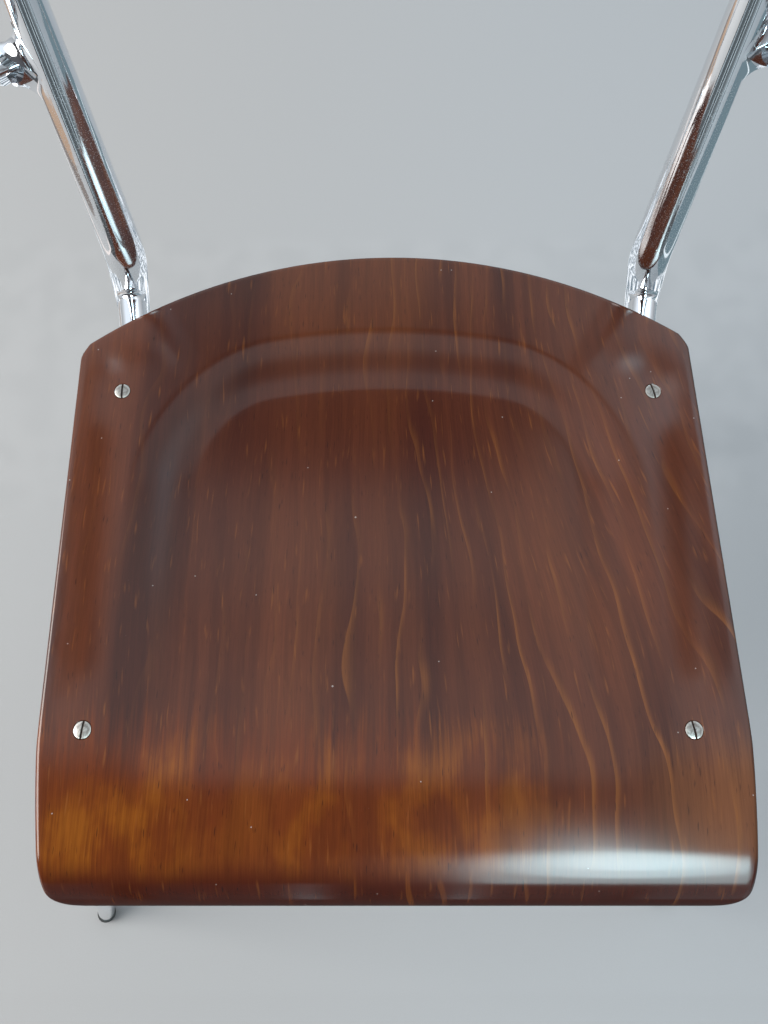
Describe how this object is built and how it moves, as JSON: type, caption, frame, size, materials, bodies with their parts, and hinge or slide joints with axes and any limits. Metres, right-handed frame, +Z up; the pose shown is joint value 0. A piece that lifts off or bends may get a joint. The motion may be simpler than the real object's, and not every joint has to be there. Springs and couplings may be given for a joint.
{
  "type": "stacking chair",
  "caption": "Rigid tubular chair: dished plywood seat with a rolled front, curved back, splayed conical legs and cantilevered arm tubes with wooden pads.",
  "frame": {"origin": "on the floor, at the centre of the chair's bounding box in plan", "axes": "+Z up; -Y towards the front, where the sitter faces; +X to the right of someone facing the chair"},
  "size_m": [0.615, 0.591, 0.8155],
  "materials": {
    "seat_wood": "dark stained beech veneer, satin-gloss lacquer",
    "back_wood": "dark stained beech veneer, satin-gloss lacquer",
    "armrest_wood": "dark stained solid beech, satin lacquer",
    "frame_chrome": "polished chrome plate, lightly scratched",
    "screw_nickel": "worn nickel plate",
    "foot_rubber": "matt black rubber",
    "spacer_rubber": "matt black rubber",
    "end_plug": "matt black plastic"
  },
  "bodies": {
    "root": {"seat_panel": "seat_wood", "back_panel": "back_wood", "left_rear_leg_upright": "frame_chrome", "left_front_leg_rail": "frame_chrome", "left_arm_tube": "frame_chrome", "left_armrest": "armrest_wood", "foot_front_left": "foot_rubber", "foot_rear_left": "foot_rubber", "upright_plug_left": "end_plug", "arm_plug_left": "end_plug", "seat_screw_front_left": "screw_nickel", "seat_nut_front_left": "screw_nickel", "seat_spacer_front_left": "spacer_rubber", "arm_screw_front_left": "screw_nickel", "seat_screw_rear_left": "screw_nickel", "seat_nut_rear_left": "screw_nickel", "seat_spacer_rear_left": "spacer_rubber", "arm_screw_rear_left": "screw_nickel", "back_screw_lower_left": "screw_nickel", "back_nut_lower_left": "screw_nickel", "back_screw_upper_left": "screw_nickel", "back_nut_upper_left": "screw_nickel", "right_rear_leg_upright": "frame_chrome", "right_front_leg_rail": "frame_chrome", "right_arm_tube": "frame_chrome", "right_armrest": "armrest_wood", "foot_front_right": "foot_rubber", "foot_rear_right": "foot_rubber", "upright_plug_right": "end_plug", "arm_plug_right": "end_plug", "seat_screw_front_right": "screw_nickel", "seat_nut_front_right": "screw_nickel", "seat_spacer_front_right": "spacer_rubber", "arm_screw_front_right": "screw_nickel", "seat_screw_rear_right": "screw_nickel", "seat_nut_rear_right": "screw_nickel", "seat_spacer_rear_right": "spacer_rubber", "arm_screw_rear_right": "screw_nickel", "back_screw_lower_right": "screw_nickel", "back_nut_lower_right": "screw_nickel", "back_screw_upper_right": "screw_nickel", "back_nut_upper_right": "screw_nickel", "front_cross_tube": "frame_chrome", "rear_cross_tube": "frame_chrome"}
  },
  "joints": []
}
